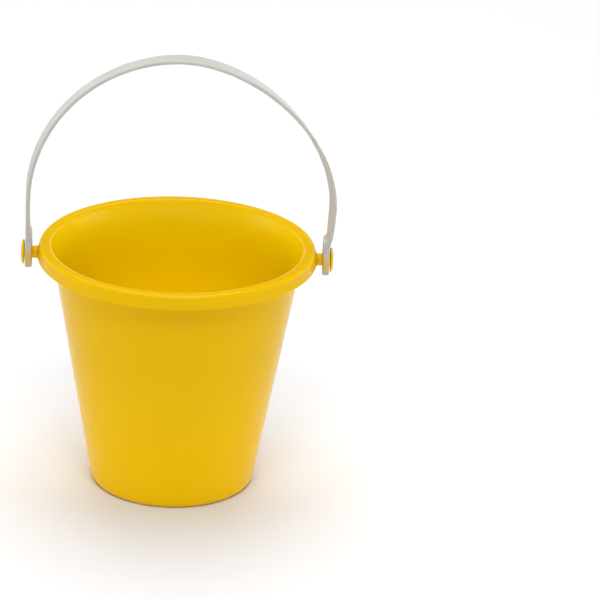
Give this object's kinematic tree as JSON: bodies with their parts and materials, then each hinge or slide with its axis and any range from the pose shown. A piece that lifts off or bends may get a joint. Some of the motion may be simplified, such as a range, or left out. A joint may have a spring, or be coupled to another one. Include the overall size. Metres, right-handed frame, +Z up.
{
  "type": "sand bucket",
  "caption": "Tapered yellow toy pail with a rolled rim and a milky strap bail that swings on two side pins.",
  "frame": {"origin": "centre of the foot, on the surface that the pail stands on", "axes": "+Z up along the pail's axis, +X along the side pins' common axis, +Y across it"},
  "size_m": [0.1938, 0.173, 0.2789],
  "materials": {
    "pail_yellow": "moulded, semi-gloss",
    "bail_milky": "moulded, satin, slightly translucent"
  },
  "bodies": {
    "pail": {"pail": "pail_yellow"},
    "bail": {"bail": "bail_milky"}
  },
  "joints": [
    {"name": "bail_swing", "type": "hinge", "parent": "pail", "child": "bail", "pos_m": [0, 0, 0.1498], "axis": [1, 0, 0], "range_deg": [-149, 149]}
  ]
}
